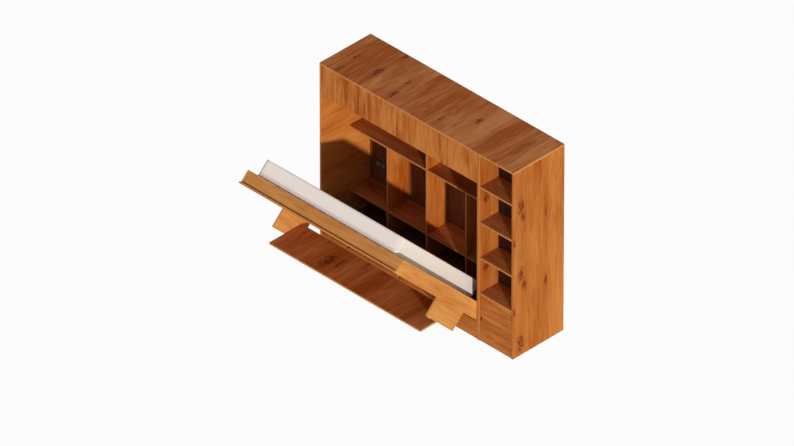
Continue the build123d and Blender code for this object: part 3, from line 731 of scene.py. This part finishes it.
def tickingMaterial():
    look = {
        "light": (0.945, 0.872, 0.836),
        "dark": (0.885, 0.805, 0.770),
        "border": (0.70, 0.61, 0.62),
        # painted shade: this tint darkens the sunlit ends
        "ends": (0.85, 0.855, 0.82),
        # painted shade: this tint dims the highlight where a side turns into an end
        "corners": (0.87, 0.87, 0.87),
        "weave": 98.0,
        "weaveWander": 0.6,
        "clouds": 5.0,
        "cloudShare": 0.7,
        "rough": 0.9,
        "sheen": 0.15,
        "relief": 0.2,
        "reliefDepth": 0.0006,
        "seam": 0.004,
        "endEdge": (0.3, 0.8),
        "turnStart": (0.05, 0.35),
        "turnStop": (0.75, 0.98),
    }
    material, tree, shader = newMaterial("mattressTicking")
    coord = put(tree, "ShaderNodeTexCoord")
    place = {"Vector": coord.outputs["Object"], "Rotation": (-bedTilt, 0.0, 0.0)}
    place = put(tree, "ShaderNodeMapping", place).outputs[0]
    waves = []
    for direction in ("X", "Z"):
        inputs = {"Vector": place, "Scale": look["weave"], "Distortion": look["weaveWander"], "Detail": 1.0}
        waves.append(put(tree, "ShaderNodeTexWave", inputs, bands_direction=direction).outputs["Fac"])
    weave = math2(tree, "MULTIPLY", waves[0], waves[1])
    clouds = noise(tree, place, scale=look["clouds"], detail=4.0).outputs["Fac"]
    threads = math2(tree, "MULTIPLY", weave, 1.0 - look["cloudShare"])
    shade = addScaled(tree, threads, clouds, look["cloudShare"], 0.0)
    colour = mixColour(tree, shade, (*look["dark"], 1.0), (*look["light"], 1.0))
    # a darker border along the base of the long sides; painted shade on the ends, where the sun falls hardest, but
    # not on their foot strip, which stays light as painted light in the end board's shadow; painted shade on the
    # turn from side to end, to damp its highlight
    base = Matrix.Rotation(-bedTilt, 3, "X") @ (shutTurn() @ Vector((0.0, coverLow.y, 0.0)))
    height = put(tree, "ShaderNodeSeparateXYZ", {0: place}).outputs[1]
    above = put(tree, "ShaderNodeMath", {0: height, 1: base.y}, operation="SUBTRACT").outputs[0]
    low = ramp(tree, above, mattress["border"] - look["seam"], mattress["border"] + look["seam"], 1.0, 0.0)
    facing = put(tree, "ShaderNodeSeparateXYZ", {0: coord.outputs["Normal"]}).outputs[0]
    facing = put(tree, "ShaderNodeMath", {0: facing}, operation="ABSOLUTE").outputs[0]
    ends = ramp(tree, facing, *look["endEdge"])
    endShade = mixColour(tree, math2(tree, "SUBTRACT", ends, low), (1.0, 1.0, 1.0, 1.0), (*look["ends"], 1.0))
    colour = mixColour(tree, 1.0, colour, endShade, "MULTIPLY")
    started = ramp(tree, facing, *look["turnStart"])
    turning = math2(tree, "MULTIPLY", started, ramp(tree, facing, *look["turnStop"], 1.0, 0.0))
    cornerShade = mixColour(tree, turning, (1.0, 1.0, 1.0, 1.0), (*look["corners"], 1.0))
    colour = mixColour(tree, 1.0, colour, cornerShade, "MULTIPLY")
    colour = mixColour(tree, math2(tree, "SUBTRACT", low, ends), colour, (*look["border"], 1.0))
    tree.links.new(colour, shader.inputs["Base Color"])
    shader.inputs["Roughness"].default_value = look["rough"]
    shader.inputs["Sheen Weight"].default_value = look["sheen"]
    bump(tree, shader, weave, look["relief"], look["reliefDepth"])
    return material


def tapeMaterial():
    look = {
        "light": (0.88, 0.81, 0.78),
        "dark": (0.80, 0.73, 0.70),
        "twill": 90.0,
        "rough": 0.85,
        "relief": 0.25,
        "reliefDepth": 0.0005,
    }
    material, tree, shader = newMaterial("mattressTape")
    place = put(tree, "ShaderNodeTexCoord").outputs["Object"]
    waves = {"Vector": place, "Scale": look["twill"]}
    twill = put(tree, "ShaderNodeTexWave", waves, bands_direction="DIAGONAL").outputs["Fac"]
    colour = mixColour(tree, twill, (*look["dark"], 1.0), (*look["light"], 1.0))
    tree.links.new(colour, shader.inputs["Base Color"])
    shader.inputs["Roughness"].default_value = look["rough"]
    bump(tree, shader, twill, look["relief"], look["reliefDepth"])
    return material


def ringAt(mesh, level):
    # the points of a closed line round the mattress, at one level of its thickness
    bm = bmesh.new()
    bm.from_mesh(mesh)
    cut = cutAt(bm, (0.0, level, 0.0), (0.0, 1.0, 0.0))
    ring = {e for e in cut if isinstance(e, bmesh.types.BMEdge)}
    edge = min(ring, key=lambda e: e.index)
    vertex, points = edge.verts[0], []
    while edge:
        ring.discard(edge)
        vertex = edge.other_vert(vertex)
        points.append(vertex.co.copy())
        edge = next((e for e in vertex.link_edges if e in ring), None)
    bm.free()
    return points


def makeTape(name, points, look):
    curve = bpy.data.curves.new(name, "CURVE")
    curve.dimensions = "3D"
    curve.bevel_depth = look["tapeRadius"]
    curve.bevel_resolution = look["tapeRounds"]
    spline = curve.splines.new("POLY")
    spline.points.add(len(points) - 1)
    for point, place in zip(spline.points, points):
        point.co = (*place, 1.0)
    spline.use_cyclic_u = True
    holder = bpy.data.objects.new(name + "_path", curve)
    scene.collection.objects.link(holder)
    bpy.context.view_layer.update()
    mesh = bpy.data.meshes.new_from_object(holder.evaluated_get(bpy.context.evaluated_depsgraph_get()))
    bpy.data.objects.remove(holder)
    mesh.name = name
    mesh.transform(shutTurn())
    for face in mesh.polygons:
        face.use_smooth = True
    piece = bpy.data.objects.new(name, mesh)
    scene.collection.objects.link(piece)
    return piece


coverLow, coverHigh = shutBox("mattress")
cover = makeMattress(coverLow, coverHigh, mattress)
inflate(cover, mattress)
settle(cover, coverLow, coverHigh, mattress)
tapeLevels = {
    "low": coverLow.y + mattress["border"],
    "high": coverHigh.y - mattress["crown"] - mattress["tapeHigh"],
}
tapeFinish = tapeMaterial()
for label, level in tapeLevels.items():
    tape = makeTape("mattress_tape_" + label, ringAt(cover.data, level), mattress)
    tape.data.materials.append(tapeFinish)
    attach(tape, "bed")
cover.data.transform(shutTurn())
for face in cover.data.polygons:
    face.use_smooth = True
cover.data.materials.append(tickingMaterial())
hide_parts("mattress")
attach(cover, "bed")
print("mattress made:", len(cover.data.polygons), "faces")

# floor, light and camera
studio = {
    "floorSize": 120.0,
    "floorDrop": 0.001,
    "floorColour": (0.86, 0.86, 0.86, 1.0),
    "floorGlow": 0.955,
    "floorRough": 0.9,
    "sunFrom": (1.7, -1.0, 0.33),
    "sunEnergy": 2.6,
    "sunColour": (1.0, 0.94, 0.86),
    "sunAngle": 1.5,
    "fill": 0.42,
    "fillColour": (1.0, 0.985, 0.97, 1.0),
}
photoView = {
    "azimuth": 45.0,
    "elevation": 35.264,
    "width": 8.104,
    "lens": 800.0,
    "sensor": 36.0,
    "target": (0.0125, -0.656, 1.1625),
}


def backdropMask(tree):
    # rays that see the plain background
    path = put(tree, "ShaderNodeLightPath")
    seen = math2(tree, "MAXIMUM", path.outputs["Is Camera Ray"], path.outputs["Is Glossy Ray"])
    return math2(tree, "MAXIMUM", seen, path.outputs["Is Transmission Ray"])


def makeFloor():
    bm = bmesh.new()
    bmesh.ops.create_grid(bm, x_segments=1, y_segments=1, size=studio["floorSize"] / 2)
    bmesh.ops.translate(bm, vec=(0.0, 0.0, -studio["floorDrop"]), verts=bm.verts)
    mesh = bpy.data.meshes.new("floor")
    bm.to_mesh(mesh)
    bm.free()
    floor = bpy.data.objects.new("floor", mesh)
    scene.collection.objects.link(floor)
    material, tree, shader = newMaterial("paleFloor")
    shader.inputs["Base Color"].default_value = studio["floorColour"]
    shader.inputs["Roughness"].default_value = studio["floorRough"]
    glow = put(tree, "ShaderNodeEmission", {"Color": (1.0, 1.0, 1.0, 1.0), "Strength": 1.0})
    factor = math2(tree, "MULTIPLY", backdropMask(tree), studio["floorGlow"])
    both = put(tree, "ShaderNodeMixShader", {0: factor, 1: shader.outputs[0], 2: glow.outputs[0]})
    output = next(n for n in tree.nodes if n.type == "OUTPUT_MATERIAL")
    tree.links.new(both.outputs[0], output.inputs["Surface"])
    mesh.materials.append(material)


def makeLight():
    lamp = bpy.data.lights.new("lowSun", "SUN")
    lamp.energy = studio["sunEnergy"]
    lamp.color = studio["sunColour"]
    lamp.angle = math.radians(studio["sunAngle"])
    holder = bpy.data.objects.new("lowSun", lamp)
    holder.rotation_mode = "QUATERNION"
    holder.rotation_quaternion = Vector(studio["sunFrom"]).to_track_quat("Z", "Y")
    scene.collection.objects.link(holder)
    world = bpy.data.worlds.new("softRoom")
    scene.world = world
    world.use_nodes = True
    tree = world.node_tree
    tree.nodes.clear()
    soft = put(tree, "ShaderNodeBackground", {"Color": studio["fillColour"], "Strength": studio["fill"]})
    white = put(tree, "ShaderNodeBackground", {"Color": (1.0, 1.0, 1.0, 1.0), "Strength": 1.0})
    both = put(tree, "ShaderNodeMixShader", {0: backdropMask(tree), 1: soft.outputs[0], 2: white.outputs[0]})
    put(tree, "ShaderNodeOutputWorld", {"Surface": both.outputs[0]})


def makeCamera():
    camera = bpy.data.cameras.new("photoCamera")
    camera.lens = photoView["lens"]
    camera.sensor_width = photoView["sensor"]
    distance = photoView["width"] * camera.lens / camera.sensor_width
    camera.clip_start = 1.0
    camera.clip_end = 3 * distance
    azimuth, elevation = math.radians(photoView["azimuth"]), math.radians(photoView["elevation"])
    level = math.cos(elevation)
    back = Vector((math.sin(azimuth) * level, -math.cos(azimuth) * level, math.sin(elevation)))
    holder = bpy.data.objects.new("photoCamera", camera)
    holder.rotation_mode = "QUATERNION"
    holder.location = Vector(photoView["target"]) + back * distance
    holder.rotation_quaternion = (-back).to_track_quat("-Z", "Y")
    scene.collection.objects.link(holder)
    scene.camera = holder


makeFloor()
makeLight()
makeCamera()
print("floor, light and camera made")
